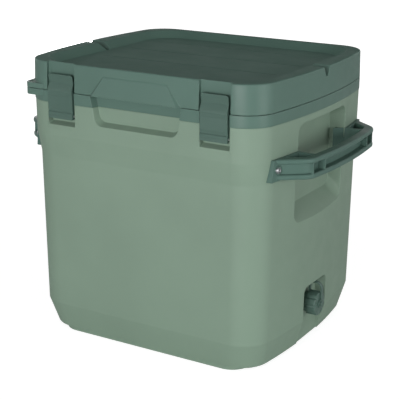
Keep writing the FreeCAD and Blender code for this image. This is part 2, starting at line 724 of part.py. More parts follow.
def lid_shell():
    """Lid skin: dished tray, tie-down notches, latch slots, lift lip and the lug's upper half."""
    low = outline(LID_BASE, 0, 0, 0)
    high = outline(TOTAL_HEIGHT, LID_DRAFT, LID_DRAFT, LID_DRAFT)
    block = loft([low, high])
    rim_edges = [edge for edge in block.Edges if edge.BoundBox.ZMin > TOTAL_HEIGHT - 0.01]
    block = block.makeFillet(LID_TOP_ROUND, rim_edges)
    block = block.cut(lid_space()).cut(tray(0))
    block = fuse_all([block, lift_lip(), lock_lug(LID_BASE, LID_BASE + LUG_LID_HEIGHT)])
    notch = tie_down_notch(0)
    recess = lid_latch_recess(0)
    rib = catch_rib()
    cuts = [notch, mirror_x(notch), recess, mirror_x(recess), padlock_hole(), both_sides(leaf_pocket())]
    for cut in cuts + tray_grooves():
        block = block.cut(cut)
    block = fuse_all([block, rib, mirror_x(rib)])
    return block.cut(both_sides(leaf_screw_bars(PIN_FIT))).cut(lid_liner_envelope()).removeSplitter()


def lid_liner_envelope():
    """Space that the lid's liner flange takes inside the skin."""
    inset = LID_WALL + LEAF_SHEET * 2
    return prism(LID_BASE - 1, LID_BASE + FLANGE_SHEET, inset, CORNER_RADIUS - inset)


def gasket_ring(z0, z1):
    """Ring that runs round the plug, between two heights."""
    inner = PLUG_INSET - GASKET_OFFSET
    outer = inner - GASKET_WIDTH
    ring = prism(z0, z1, outer, GASKET_RADIUS + GASKET_WIDTH)
    return ring.cut(prism(z0 - 1, z1 + 1, inner, GASKET_RADIUS))


def plug_block(grow_in, z0, z1):
    """Block that tapers like the lid's plug, its faces moved in by grow_in."""
    inset = PLUG_INSET + grow_in
    radius = PLUG_RADIUS - grow_in
    low = outline(z0, inset + 1, inset + 1, inset + 1, radius)
    high = outline(z1, inset, inset, inset, radius)
    return loft([low, high])


def plug_hollow():
    """Space inside the lid's plug."""
    return plug_block(LINER_WALL, SEAM_HEIGHT - PLUG_DEPTH + LINER_WALL, LID_BASE + FLANGE_SHEET + 1)


def lid_liner():
    """Underside of the lid: a flange with a gasket groove, and a hollow plug that drops into the tub."""
    inset = LID_WALL + LEAF_SHEET * 2
    flange = prism(LID_BASE, LID_BASE + FLANGE_SHEET, inset, CORNER_RADIUS - inset)
    plug = plug_block(0, SEAM_HEIGHT - PLUG_DEPTH, LID_BASE + 1)
    groove = gasket_ring(LID_BASE - 1, LID_BASE + GASKET_HEIGHT)
    return flange.fuse(plug).cut(plug_hollow()).cut(groove).removeSplitter()


def lid_gasket():
    """Rubber seal in the flange's groove, standing just proud of it."""
    return gasket_ring(SEAM_HEIGHT + GASKET_GAP, LID_BASE + GASKET_HEIGHT)


def lid_foam(shell, liner):
    """Foam between the lid's skin and its liner."""
    above = lid_space().common(box(-SIDE, SIDE, FRONT, BACK, LID_BASE + FLANGE_SHEET, TOTAL_HEIGHT))
    return above.fuse(plug_hollow()).cut(liner).cut(shell).removeSplitter()


# ---- latches

def latch_profile():
    """Side view of a latch's front sheet, as (y, z) points from its bottom edge up and back down."""
    face = FRONT - LATCH_PROUD
    t = LATCH_SHEET
    fold = face + LATCH_FOLD
    top = LATCH_TOP
    outside = [
        (face - 0.4, LATCH_BOTTOM), (face - 0.4, LATCH_BOTTOM + 9.0), (face + 1.6, LATCH_BOTTOM + 12.0),
        (face, LATCH_BOTTOM + 16.5), (face, top - 26.4), (face - 0.5, top - 26.0), (face - 0.3, top - 21.6),
        (fold, top - 13.0), (fold - 0.2, top - 11.8), (face + 1.6, top),
    ]
    inside = [
        (face + 1.6 + t * 0.8, top), (fold + t, top - 11.8), (fold + t, top - 13.6), (face + t, top - 20.0),
        (face + t, LATCH_PIN_HEIGHT), (FRONT + LATCH_PIN_INSET, LATCH_PIN_HEIGHT),
        (FRONT + LATCH_PIN_INSET, LATCH_BOTTOM),
    ]
    return outside + inside


def latch_pin_bar(grow):
    """Right latch's pin, from one side of its slot's walls to the other."""
    half = BODY_RECESS_WIDTH / 2 + SHELL_WALL
    y = FRONT + LATCH_PIN_INSET
    start = Vector(LATCH_X - half, y, LATCH_PIN_HEIGHT)
    return cylinder(LATCH_PIN_RADIUS + grow, start, start.add(Vector(2 * half, 0, 0)))


def latch():
    """Right latch: folded front sheet, side flanges and a barrel for the pin."""
    half = LATCH_WIDTH / 2
    x0 = LATCH_X - half
    x1 = LATCH_X + half
    sheet = extrude_profile(latch_profile(), x0, x1)
    tips = [edge for edge in sheet.Edges
            if edge.BoundBox.ZMin > LATCH_TOP - 0.01 and edge.BoundBox.XLength < 0.01]
    sheet = sheet.makeFillet(3.6, tips)
    axis = Vector(0, FRONT + LATCH_PIN_INSET, LATCH_PIN_HEIGHT)
    barrel = cylinder(LATCH_BARREL_RADIUS, axis.add(Vector(x0, 0, 0)), axis.add(Vector(x1, 0, 0)))
    face = FRONT - LATCH_PROUD
    flange_profile = [
        (face + 1, LATCH_PIN_HEIGHT), (FRONT + LATCH_PIN_INSET + 3.4, LATCH_PIN_HEIGHT),
        (FRONT + 4.6, LATCH_TOP - 30), (face + 4, LATCH_TOP - 19), (face + 1, LATCH_TOP - 21),
    ]
    flange_low = extrude_profile(flange_profile, x0, x0 + LATCH_FLANGE)
    flange_high = extrude_profile(flange_profile, x1 - LATCH_FLANGE, x1)
    body = fuse_all([sheet, barrel, flange_low, flange_high])
    return body.cut(latch_pin_bar(RUNNING_CLEARANCE))


# ---- hinges

def both_sides(shape):
    """A shape and its mirror image, as one compound."""
    return Part.makeCompound([shape, mirror_x(shape)])


def hinge_bar(radius, x0, x1):
    """Round bar on the right hinge's axis, between two offsets from the hinge's middle."""
    return cylinder(radius, Vector(HINGE_X + x0, HINGE_Y, HINGE_Z), Vector(HINGE_X + x1, HINGE_Y, HINGE_Z))


def hinge_boss(z0, z1):
    """Thick place behind the right hinge's leaf, for its screws."""
    half = HINGE_WIDTH / 2 + 4
    return box(HINGE_X - half, HINGE_X + half, BACK - LEAF_SHEET - SCREW_LENGTH - 1, BACK - 1, z0, z1)


def bracket_pocket():
    """Pocket in the collar's back for the right body leaf and the knuckles."""
    half = HINGE_WIDTH / 2 + LEAF_FIT
    low = SEAM_HEIGHT - BRACKET_DROP - LEAF_FIT
    inner = BACK - LEAF_SHEET - LEAF_FIT
    pocket = box(HINGE_X - half, HINGE_X + half, inner, BACK + OUT, low, SEAM_HEIGHT + 1)
    return pocket.fuse(hinge_bar(HINGE_RELIEF, -half, half))


def leaf_pocket():
    """Pocket in the lid's back for the right lid leaf and the knuckles."""
    half = HINGE_WIDTH / 2 + LEAF_FIT
    high = LID_BASE + LEAF_RISE + LEAF_FIT
    pocket = box(HINGE_X - half, HINGE_X + half, BACK - LEAF_SHEET - LEAF_FIT, BACK + OUT, LID_BASE - 1, high)
    return pocket.fuse(hinge_bar(HINGE_RELIEF, -half, half))


def screw_positions(z):
    """Heads of the two screws in a right-hand leaf, in its outer face."""
    return [Vector(HINGE_X + side * HINGE_SCREW_OFFSET, BACK, z) for side in (-1, 1)]


def countersunk_screw(head, grow):
    """Screw driven towards the front, its flat head flush with the leaf."""
    neck = head.add(Vector(0, -SCREW_HEAD_HEIGHT, 0))
    tip = head.add(Vector(0, -LEAF_SHEET - SCREW_LENGTH + 2, 0))
    taper = cone(SCREW_HEAD_RADIUS + grow, SCREW_RADIUS + grow, head, neck)
    return taper.fuse(cylinder(SCREW_RADIUS + grow, head, tip))


def bracket_screws(grow):
    """The right body leaf's two screws."""
    z = SEAM_HEIGHT - BRACKET_DROP + 4.8
    return [countersunk_screw(head, grow) for head in screw_positions(z)]


def leaf_screws(grow):
    """The right lid leaf's two screws."""
    z = LID_BASE + LEAF_RISE - 5.2
    return [countersunk_screw(head, grow) for head in screw_positions(z)]


def bracket_screw_bars(grow):
    return Part.makeCompound(bracket_screws(grow))


def leaf_screw_bars(grow):
    return Part.makeCompound(leaf_screws(grow))


def hinge_leaf(z0, z1, knuckles, gaps, screws):
    """Flat leaf with its knuckles, cleared where the other leaf's knuckles turn."""
    half = HINGE_WIDTH / 2
    leaf = box(HINGE_X - half, HINGE_X + half, BACK - LEAF_SHEET, BACK, z0, z1)
    for x0, x1 in gaps:
        leaf = leaf.cut(hinge_bar(HINGE_RELIEF, x0, x1))
    leaf = fuse_all([leaf] + [hinge_bar(KNUCKLE_RADIUS, x0, x1) for x0, x1 in knuckles])
    for x0, x1 in gaps:
        leaf = leaf.cut(hinge_bar(HINGE_RELIEF, x0, x1))
    leaf = leaf.cut(hinge_bar(HINGE_PIN_RADIUS + RUNNING_CLEARANCE, -half - 1, half + 1))
    return leaf.cut(Part.makeCompound(screws))


def knuckle_spans():
    """Offsets of the two body knuckles and of the lid knuckle along the hinge."""
    half = HINGE_WIDTH / 2
    inner = LID_KNUCKLE_WIDTH / 2
    body = [(-half, -inner - KNUCKLE_GAP), (inner + KNUCKLE_GAP, half)]
    return body, [(-inner, inner)]


def hinge_bracket():
    """Right body leaf."""
    body, lid = knuckle_spans()
    gap = [(x0 - KNUCKLE_GAP, x1 + KNUCKLE_GAP) for x0, x1 in lid]
    return hinge_leaf(SEAM_HEIGHT - BRACKET_DROP, SEAM_HEIGHT, body, gap, bracket_screws(PIN_FIT))


def lid_hinge():
    """Right lid leaf."""
    body, lid = knuckle_spans()
    gaps = [(body[0][0] - 1, body[0][1] + KNUCKLE_GAP), (body[1][0] - KNUCKLE_GAP, body[1][1] + 1)]
    return hinge_leaf(LID_BASE, LID_BASE + LEAF_RISE, lid, gaps, leaf_screws(PIN_FIT))


def hinge_pin():
    """Right hinge's steel pin."""
    half = HINGE_WIDTH / 2
    return hinge_bar(HINGE_PIN_RADIUS, -half, half)


# ---- side handles

def handle_rim(inset, z):
    """Plan line of the right handle's bar, inset from its outer edge, from one end to the other."""
    root_x = SIDE - HANDLE_ROOT
    root_y = HANDLE_END - 2
    corner_x = HANDLE_REACH - HANDLE_BOW
    arm = math.atan2(root_y - HANDLE_HALF_LENGTH, corner_x - root_x)
    corner_y = HANDLE_HALF_LENGTH - inset * (1 - math.sin(arm)) / math.cos(arm)
    root_y = root_y - inset / math.cos(arm)
    corner_x = corner_x - inset
    a = Vector(root_x, -root_y, z)
    b = Vector(corner_x, -corner_y, z)
    c = Vector(HANDLE_REACH - inset, 0, z)
    d = Vector(corner_x, corner_y, z)
    e = Vector(root_x, root_y, z)
    edges = [
        Part.LineSegment(a, b).toShape(),
        Part.Arc(b, c, d).toShape(),
        Part.LineSegment(d, e).toShape(),
    ]
    return edges, a, e


def handle_band(inset_out, inset_in, z0, z1):
    """Upright strip of the handle's bar between two insets, with rounded elbows."""
    outer, outer_start, outer_end = handle_rim(inset_out, z0)
    inner, inner_start, inner_end = handle_rim(inset_in, z0)
    edges = outer + inner
    edges.append(Part.LineSegment(outer_end, inner_end).toShape())
    edges.append(Part.LineSegment(inner_start, outer_start).toShape())
    face = Part.Face(Part.Wire(Part.__sortEdges__(edges)))
    band = face.extrude(Vector(0, 0, z1 - z0))
    middle = HANDLE_REACH - HANDLE_BOW - (inset_out + inset_in) / 2
    elbows = [edge for edge in band.Edges if is_elbow(edge)]
    outside = [edge for edge in elbows if edge.BoundBox.XMin > middle]
    inside = [edge for edge in elbows if edge.BoundBox.XMin < middle]
    band = band.makeFillet(HANDLE_ROUND, outside)
    inside = [edge for edge in band.Edges if is_elbow(edge) and is_near(edge, inside)]
    return band.makeFillet(HANDLE_INNER_ROUND, inside)


def is_elbow(edge):
    """Whether an edge of the band is one of its upright elbow edges."""
    bounds = edge.BoundBox
    upright = bounds.XLength < 0.01 and bounds.YLength < 0.01
    return upright and bounds.XMin > SIDE + 2


def is_near(edge, others):
    """Whether an upright edge stands where one of the others does."""
    place = edge.BoundBox.Center
    return any(place.sub(other.BoundBox.Center).Length < 0.1 for other in others)


def both_ends(shape):
    """A shape at the rear and its mirror image at the front, as one compound."""
    return Part.makeCompound([shape, shape.mirror(Vector(0, 0, 0), Vector(0, 1, 0))])


def handle_plate(z0, z1):
    """Plate at the rear end of the right handle, following the body's side."""
    centre, radius = side_arc(-HANDLE_PLATE)
    z0 = z0 - HANDLE_PLATE_DROP
    drum = Part.makeCylinder(radius, z1 - z0, Vector(centre, 0, z0))
    low = HANDLE_END + HANDLE_PLATE_SLANT
    x = SIDE - HANDLE_END / 2
    profile = [Vector(x, HANDLE_INNER, z0), Vector(x, low, z0), Vector(x, HANDLE_END, z1),
               Vector(x, HANDLE_INNER, z1)]
    strip = Part.Face(Part.makePolygon(profile + [profile[0]])).extrude(Vector(HANDLE_REACH - x, 0, 0))
    return drum.common(strip)


def handle_arm_wall(z0, z1):
    """Wall on the inside of the rear arm, from the plate out to the grip."""
    x1 = HANDLE_REACH - HANDLE_BOW - HANDLE_BAR / 2
    return box(SIDE - 20, x1, HANDLE_INNER, HANDLE_INNER + HANDLE_WEB, z0, z1)


def handle_key(z0, z1):
    """Wedge at the rear end that reaches into the pocket and takes the load off the screw."""
    x_face = SIDE + 2
    x_tip = SIDE - HANDLE_KEY
    y_out = HANDLE_INNER + HANDLE_WEB
    points = [
        Vector(x_face, y_out, z0), Vector(x_face, HANDLE_INNER, z0),
        Vector(x_face - HANDLE_KEY_CHIN, HANDLE_INNER - HANDLE_KEY_CHIN_FLARE, z0),
        Vector(x_tip, HANDLE_INNER - HANDLE_KEY_FLARE, z0), Vector(x_tip, y_out, z0),
    ]
    return Part.Face(Part.makePolygon(points + [points[0]])).extrude(Vector(0, 0, z1 - z0))


def handle_rib(offset, z0, z1):
    """Rib across the bar's outer channel."""
    span = handle_band(1.0, HANDLE_BAR - 1, z0, z1)
    return span.common(box(0, HANDLE_REACH, offset - HANDLE_RIB / 2, offset + HANDLE_RIB / 2, z0, z1))


def handle_flange(z0):
    """Flange of the bar, its long edges rounded."""
    flange = handle_band(0, HANDLE_BAR, z0, z0 + HANDLE_FLANGE)
    root = SIDE - HANDLE_ROOT + 1
    long_edges = [edge for edge in flange.Edges if edge.BoundBox.ZLength < 0.01 and edge.BoundBox.XMax > root]
    return flange.makeFillet(HANDLE_FLANGE_ROUND, long_edges)


def handle_webs(z0, z1):
    """Webs between the flanges: along the inside of the grip, and nearer the outside on the arms."""
    grip = handle_band(HANDLE_BAR - HANDLE_WEB, HANDLE_BAR, z0, z1)
    arms = handle_band(HANDLE_ARM_WEB_INSET, HANDLE_ARM_WEB_INSET + HANDLE_WEB, z0, z1)
    middle = box(0, HANDLE_REACH, -HANDLE_RIBS[0], HANDLE_RIBS[0], z0, z1)
    return [grip] + arms.cut(middle).Solids


def side_handle(outside):
    """Right handle: two flanges joined by a web, ribbed on the outside, seated on the body's side."""
    z0 = HANDLE_CENTRE_HEIGHT - HANDLE_HEIGHT / 2
    z1 = z0 + HANDLE_HEIGHT
    low = handle_flange(z0)
    high = low.translated(Vector(0, 0, HANDLE_HEIGHT - HANDLE_FLANGE))
    web_low = z0 + HANDLE_FLANGE / 2
    web_high = z1 - HANDLE_FLANGE / 2
    solids = [low, high] + handle_webs(web_low, web_high)
    for offset in HANDLE_RIBS:
        solids.extend([handle_rib(-offset, web_low, web_high), handle_rib(offset, web_low, web_high)])
    for end in (handle_plate(z0, z1), handle_arm_wall(z0, z1), handle_key(z0, z1)):
        solids.extend(both_ends(end).Solids)
    seat = outside.cut(side_pocket(-HANDLE_FIT))
    handle = fuse_all(solids).cut(seat)
    return handle.cut(both_ends(handle_screw(HANDLE_FIT))).removeSplitter()


def handle_screw_seat():
    """Where the rear handle screw's head sits on the right handle's plate."""
    centre, radius = side_arc(-HANDLE_PLATE)
    x = centre + math.sqrt(radius * radius - HANDLE_SCREW * HANDLE_SCREW)
    return Vector(x - 0.6, HANDLE_SCREW, HANDLE_CENTRE_HEIGHT)


def handle_screw(grow):
    """Rear screw of the right handle, driven towards the middle of the cooler."""
    seat = handle_screw_seat()
    head_top = seat.add(Vector(HANDLE_SCREW_HEAD_HEIGHT, 0, 0))
    tip = seat.add(Vector(-HANDLE_SCREW_LENGTH, 0, 0))
    head = cylinder(HANDLE_SCREW_HEAD + grow, seat, head_top)
    shank = cylinder(HANDLE_SCREW_RADIUS + grow, tip, head_top)
    return head.fuse(shank)


def socketed_screw():
    """Handle screw with its six-sided socket."""
    seat = handle_screw_seat()
    deep = seat.add(Vector(HANDLE_SCREW_HEAD_HEIGHT - SOCKET_DEPTH, 0, 0))
    return handle_screw(0).cut(hexagon(SOCKET_ACROSS, deep, SOCKET_DEPTH + 1))


def hexagon(across, start, length):
    """Six-sided bar along +X, its flats the given distance apart."""
    radius = across / math.sqrt(3)
    points = []
    for index in range(7):
        angle = math.radians(60 * index)
        points.append(start.add(Vector(0, radius * math.cos(angle), radius * math.sin(angle))))
    return Part.Face(Part.makePolygon(points)).extrude(Vector(length, 0, 0))


def insert_bar(grow):
    """Outside of the rear threaded insert on the right."""
    seat = handle_screw_seat()
    mouth = seat.add(Vector(-HANDLE_PLATE - 5.0, 0, 0))
    blind = mouth.add(Vector(-INSERT_LENGTH, 0, 0))
    return cylinder(INSERT_RADIUS + grow, blind, mouth)


def handle_insert():
    """Threaded insert that the rear handle screw on the right holds in."""
    seat = handle_screw_seat()
    bore = cylinder(HANDLE_SCREW_RADIUS + PIN_FIT, seat.add(Vector(-60, 0, 0)), seat)
    return insert_bar(0).cut(bore)


def handle_bosses():
    """Bosses behind the handles' screws."""
    seat = handle_screw_seat()
    boss = cylinder(INSERT_RADIUS + 3, seat.add(Vector(-HANDLE_PLATE - INSERT_LENGTH - 8, 0, 0)), seat)
    return fuse_parts(both_sides(both_ends(boss)))


def handle_fixing_holes():
    """Holes in the body for the handles' screws and inserts."""
    screw_hole = handle_screw(PIN_FIT)
    return both_sides(both_ends(screw_hole.fuse(insert_bar(0))))


def fuse_parts(compound):
    """One shape from a compound's separate solids."""
    return fuse_all(compound.Solids)


# ---- drain

def drain_bar(radius, x0, x1):
    """Round bar on the drain's axis."""
    return cylinder(radius, Vector(x0, 0, DRAIN_HEIGHT), Vector(x1, 0, DRAIN_HEIGHT))


def drain_tube(outer, inner, x0, x1):
    """Round tube on the drain's axis."""
    return drain_bar(outer, x0, x1).cut(drain_bar(inner, x0 - 1, x1 + 1))


def drain_hole():
    """Hole for the spout through the liner, the foam and the shell."""
    return drain_bar(SPOUT_RADIUS, LINER_FACE - 5, SIDE + OUT)


def drain_spout():
    """Tube from the inside of the liner to the recess, flanged inside."""
    flange_face = LINER_FACE - DRAIN_SEAL
    tube = drain_bar(SPOUT_RADIUS, flange_face - 1, SPOUT_REACH)
    flange = drain_bar(SPOUT_FLANGE_RADIUS, flange_face - SPOUT_FLANGE, flange_face)
    return tube.fuse(flange).cut(drain_bar(SPOUT_BORE, 0, SIDE)).removeSplitter()


def drain_seal(liner):
    """Rubber washer between the spout's flange and the liner."""
    washer = drain_tube(SPOUT_FLANGE_RADIUS, SPOUT_RADIUS + PIN_FIT, LINER_FACE - DRAIN_SEAL, LINER_FACE + 1)
    return washer.cut(liner)


def drain_nut():
    """Six-sided nut that clamps the spout from the recess."""
    start = Vector(DRAIN_RECESS_FLOOR, 0, DRAIN_HEIGHT)
    return hexagon(NUT_ACROSS, start, NUT_THICKNESS).cut(drain_bar(SPOUT_RADIUS, 0, SIDE))


def drain_cap():
    """Screw cap with a fluted skirt and a stud for the strap."""
    cap = drain_bar(CAP_RADIUS, CAP_FACE - CAP_SKIRT, CAP_FACE)
    rim = [edge for edge in cap.Edges if edge.BoundBox.XMin > CAP_FACE - 0.01]
    cap = cap.makeFillet(CAP_EDGE, rim)
    mouth = CAP_FACE - CAP_WALL
    cap = cap.cut(drain_bar(SPOUT_RADIUS + THREAD_GAP, 0, mouth))
    cap = cap.cut(drain_tube(CAP_HOLLOW, SPOUT_RADIUS + CAP_THREAD_WALL, 0, mouth))
    reach = CAP_RADIUS + CAP_FLUTE_RADIUS * 0.6
    for index in range(CAP_FLUTES):
        angle = 2 * math.pi * index / CAP_FLUTES
        start = Vector(0, reach * math.cos(angle), DRAIN_HEIGHT + reach * math.sin(angle))
        cap = cap.cut(cylinder(CAP_FLUTE_RADIUS, start, start.add(Vector(SIDE + OUT, 0, 0))))
    strap_face = CAP_FACE + TETHER_THICKNESS + 2 * TETHER_GAP
    stud = drain_bar(STUD_RADIUS, mouth, strap_face + STUD_HEAD)
    head = drain_bar(STUD_HEAD_RADIUS, strap_face, strap_face + STUD_HEAD)
    return fuse_all([cap, stud, head])


def cap_seal():
    """Rubber washer between the cap and the spout's mouth."""
    return drain_tube(SPOUT_RADIUS, SPOUT_BORE, SPOUT_REACH, CAP_FACE - CAP_WALL)


def strap_bar(x0, x1, z0, z1):
    """Stretch of the strap between two corners, as wide as the strap."""
    y0 = TETHER_OFFSET - TETHER_WIDTH / 2
    return box(x0, x1, y0, y0 + TETHER_WIDTH, z0, z1)


def drain_tether():
    """Moulded strap: a ring round the spout, an arch over the cap and an eye on the cap's stud."""
    t = TETHER_THICKNESS
    ring_x = DRAIN_RECESS_FLOOR + NUT_THICKNESS + TETHER_GAP
    face_x = CAP_FACE + TETHER_GAP
    end_x = face_x + t
    radius = (end_x - ring_x) / 2
    axis_z = TETHER_TOP - radius
    side = Vector(ring_x + radius, TETHER_OFFSET - TETHER_WIDTH / 2, axis_z)
    far = side.add(Vector(0, TETHER_WIDTH, 0))
    arch = cylinder(radius, side, far).cut(cylinder(radius - t, side, far))
    arch = arch.common(box(0, SIDE + OUT, far.y - TETHER_WIDTH, far.y, axis_z, TETHER_TOP))
    ring = drain_tube(SPOUT_RADIUS + TETHER_WIDTH, SPOUT_RADIUS + TETHER_GAP, ring_x, ring_x + t)
    back_leg = strap_bar(ring_x, ring_x + t, DRAIN_HEIGHT + SPOUT_RADIUS + 2, axis_z)
    front_leg = strap_bar(face_x, end_x, DRAIN_HEIGHT + 1, axis_z)
    eye = drain_bar(TETHER_EYE, face_x, end_x)
    strap = fuse_all([ring, back_leg, arch, front_leg, eye])
    return strap.cut(drain_bar(STUD_RADIUS + TETHER_GAP, CAP_FACE, SIDE + OUT)).removeSplitter()


# ---- the whole cooler

def build_all():
    """Every piece, by node name."""
    outside = shell_outside()
    shell = outer_shell(outside)
    liner = inner_liner()
    collar = rim_collar()
    foam = insulation_foam(shell, collar)
    lid = lid_shell()
    plug = lid_liner()
    handle = side_handle(outside)
    right_latch = latch()
    screw = socketed_screw()
    nodes = {
        "outer_shell": shell,
        "inner_liner": liner,
        "rim_collar": collar,
        "insulation_foam": foam,
        "lid_shell": lid,
        "lid_liner": plug,
        "lid_foam": lid_foam(lid, plug),
        "lid_gasket": lid_gasket(),
        "latch_right": right_latch,
        "latch_left": mirror_x(right_latch),
        "latch_pins": both_sides(latch_pin_bar(0)),
        "hinge_leaf_body_right": hinge_bracket(),
        "hinge_leaf_body_left": mirror_x(hinge_bracket()),
        "hinge_leaf_lid_right": lid_hinge(),
        "hinge_leaf_lid_left": mirror_x(lid_hinge()),
        "hinge_pins": both_sides(hinge_pin()),
        "hinge_screws_body": both_sides(Part.makeCompound(bracket_screws(0))),
        "hinge_screws_lid": both_sides(Part.makeCompound(leaf_screws(0))),
        "side_handle_right": handle,
        "side_handle_left": mirror_x(handle),
        "handle_screws": both_sides(both_ends(screw)),
        "handle_inserts": both_sides(both_ends(handle_insert())),
        "drain_spout": drain_spout(),
        "drain_seal": drain_seal(liner),
        "drain_nut": drain_nut(),
        "drain_cap": drain_cap(),
        "drain_cap_seal": cap_seal(),
        "drain_tether": drain_tether(),
    }
    return nodes


for name, shape in build_all().items():
    shape.exportStep("parts/" + name + ".step")
    print(name, len(shape.Solids), round(shape.Volume / 1000, 1))
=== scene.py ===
# %% [markdown]
# # A hard cooler box
#
# This lesson gives a finished look to an insulated cooler: a foamed body, a hinged lid, two pull-down
# latches, two bolted side handles and a drain with a strapped cap. The solid model already has every piece
# at its real size and place, so the work here is edges, plastics, steel, light and a camera.
#
# The first step loads that model as a fixed frame. Its pieces can be looked at and measured, but are never
# moved.

# %% Load the frame
import json
import math

import bmesh
import bpy
from mathutils import Matrix, Vector


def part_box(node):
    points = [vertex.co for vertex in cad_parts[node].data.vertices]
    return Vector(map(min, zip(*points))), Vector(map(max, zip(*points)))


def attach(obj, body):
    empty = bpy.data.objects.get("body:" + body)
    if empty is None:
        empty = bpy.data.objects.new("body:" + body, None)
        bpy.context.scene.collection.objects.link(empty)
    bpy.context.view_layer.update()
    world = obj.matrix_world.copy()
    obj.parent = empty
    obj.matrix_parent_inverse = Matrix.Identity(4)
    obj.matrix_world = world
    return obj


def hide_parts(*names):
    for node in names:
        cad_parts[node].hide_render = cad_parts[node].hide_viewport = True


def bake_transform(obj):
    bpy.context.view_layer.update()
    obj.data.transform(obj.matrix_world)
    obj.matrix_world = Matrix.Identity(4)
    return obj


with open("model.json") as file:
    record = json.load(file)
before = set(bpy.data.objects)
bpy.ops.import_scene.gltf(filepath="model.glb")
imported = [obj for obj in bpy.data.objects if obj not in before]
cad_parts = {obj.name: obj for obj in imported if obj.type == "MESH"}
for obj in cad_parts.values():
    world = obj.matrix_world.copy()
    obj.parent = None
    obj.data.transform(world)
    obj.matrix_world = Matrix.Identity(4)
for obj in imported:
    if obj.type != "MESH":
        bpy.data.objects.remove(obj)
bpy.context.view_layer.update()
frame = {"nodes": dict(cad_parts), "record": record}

NODES = frame["nodes"]
BODY_OF = {node: empty_name for empty_name, members in frame["record"]["behaviour"]["bodies"].items()
           for node in members}

# %% [markdown]
# ## Colours
#
# The cooler has two greens: a pale sage body, and a deeper green for the lid, collar, latches and handles.
# Colours are easiest to choose as a screen shows them, from 0 to 255. Blender's shaders want light itself, so
# each channel goes through the screen's curve once. A colour picker would do the same by hand, but a small
# function keeps the numbers readable, and every colour in the lesson passes through it.

# %% Screen colours to light
def colour(red, green, blue):
    """A screen colour, 0 to 255 a channel, as the linear colour that shaders take."""
    def channel(value):
        value = value / 255
        return value / 12.92 if value <= 0.04045 else ((value + 0.055) / 1.055) ** 2.4

    return channel(red), channel(green), channel(blue), 1.0


SAGE = colour(125, 147, 130)
DEEP_GREEN = colour(88, 115, 105)
DARK_GREEN = colour(81, 108, 99)
OFF_WHITE = colour(226, 228, 222)
RUBBER_BLACK = colour(38, 41, 40)
FOAM_CREAM = colour(226, 214, 176)
STEEL_GREY = colour(205, 205, 208)
FLOOR_WHITE = colour(240, 240, 240)
print("sage in linear light:", [round(v, 3) for v in SAGE[:3]])

# %% [markdown]
# ## Small helpers for shader nodes
#
# A finish is a small graph of nodes. Written out in full, each node takes several lines, and the idea gets
# lost. A few helpers keep each finish short. One makes a node with its sockets set, and one does arithmetic
# on two or three values. One makes noise that is measured in metres on the piece itself, and one stretches
# the noise's middle range to the values wanted. The stretch eases in and out, so that it ends without a kink.

# %% Node helpers
NOISE_LOW, NOISE_HIGH = 0.3, 0.7
PLAIN_DETAIL, FINE_DETAIL = 2.0, 3.0


def node_of(tree, kind, **inputs):
    """A shader node with its sockets set; an underscore in a name stands for a space."""
    made = tree.nodes.new(kind)
    for name, value in inputs.items():
        made.inputs[name.replace("_", " ")].default_value = value
    return made


def maths_of(tree, operation, *terms):
    """Arithmetic on two or three values, each of them a number or another node's socket."""
    made = tree.nodes.new("ShaderNodeMath")
    made.operation = operation
    for socket, term in zip(made.inputs, terms):
        if isinstance(term, float):
            socket.default_value = term
        else:
            tree.links.new(term, socket)
    return made.outputs["Value"]


def noise_of(tree, scale, detail=PLAIN_DETAIL):
    """Noise in the piece's own metres."""
    place = tree.nodes.new("ShaderNodeTexCoord")
    noise = node_of(tree, "ShaderNodeTexNoise", Scale=scale, Detail=detail)
    tree.links.new(place.outputs["Object"], noise.inputs["Vector"])
    return noise.outputs["Fac"]


def spread(tree, factor, low, high):
    """The noise's middle range, stretched from low to high."""
    span = tree.nodes.new("ShaderNodeMapRange")
    span.interpolation_type = "SMOOTHSTEP"
    for name, value in {"From Min": NOISE_LOW, "From Max": NOISE_HIGH, "To Min": low, "To Max": high}.items():
        span.inputs[name].default_value = value
    tree.links.new(factor, span.inputs["Value"])
    return span.outputs["Result"]


def shaded(base, share):
    """The base colour, lighter or darker by a share."""
    return tuple(channel * share for channel in base[:3]) + (1.0,)


print("noise between", NOISE_LOW, "and", NOISE_HIGH, "is stretched")

# %% [markdown]
# ## A base for moulded plastic
#
# A moulding is never one flat colour. The pigment drifts a little across a wide face, the mould's fine spark
# texture breaks up the shine, and the polish changes slowly from place to place. Painted textures could show
# that, but they need unwrapping and a picture for each piece. Three noises at three sizes do it for every
# piece at once: a broad one for the pigment, a middle one for the polish and a very fine one for the grain.

# %% One function for all the plastics
PIGMENT_SCALE = 7.0
POLISH_SCALE = 35.0
ROUGHNESS_CHANGE = 0.05
GRAIN_DEPTH = 0.0002


